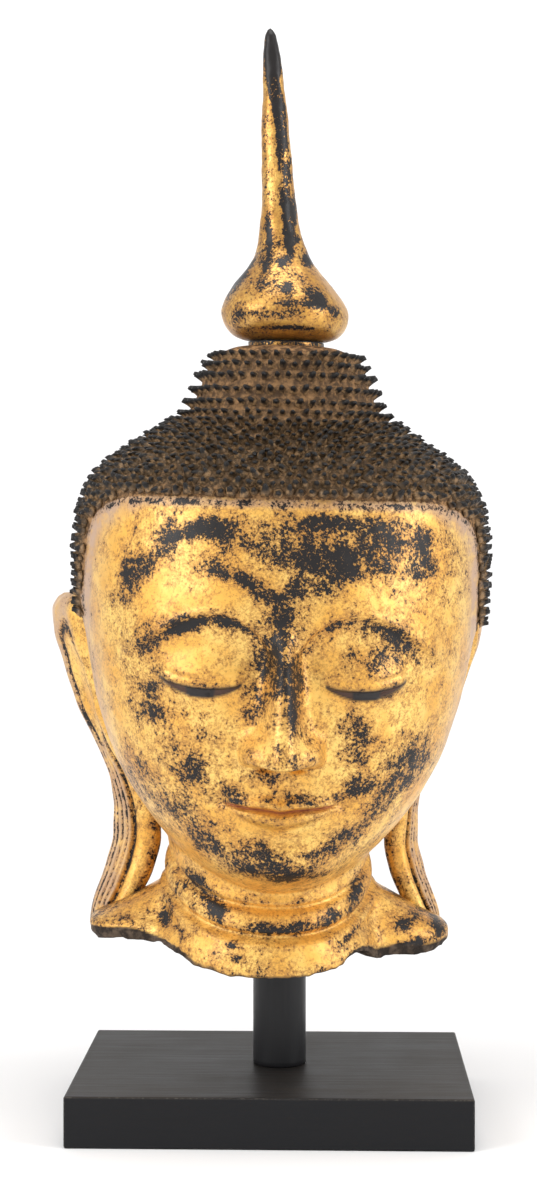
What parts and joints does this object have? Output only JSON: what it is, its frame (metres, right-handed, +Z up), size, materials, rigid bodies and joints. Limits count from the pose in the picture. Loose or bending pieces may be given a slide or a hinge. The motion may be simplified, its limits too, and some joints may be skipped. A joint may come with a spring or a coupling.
{
  "type": "lacquered buddha head",
  "caption": "Life-size gilded lacquer Buddha head with pointed curls, long ears and a tall bud finial, held by a round post on a rectangular plinth.",
  "frame": {"origin": "centre of the plinth's underside", "axes": "+Z up; the face looks along -Y; +X is to the right when looking at the face"},
  "size_m": [0.3225, 0.3156, 0.7704],
  "materials": {
    "head": "worn gold leaf over glossy brown-black lacquer; tan and dark curls",
    "finial": "worn gold leaf over glossy brown-black lacquer",
    "post": "satin black paint with fine scratches",
    "plinth": "black stained wood, dry and slightly worn"
  },
  "bodies": {
    "root": {"head": "head", "finial": "finial", "post": "post", "plinth": "plinth"}
  },
  "joints": []
}
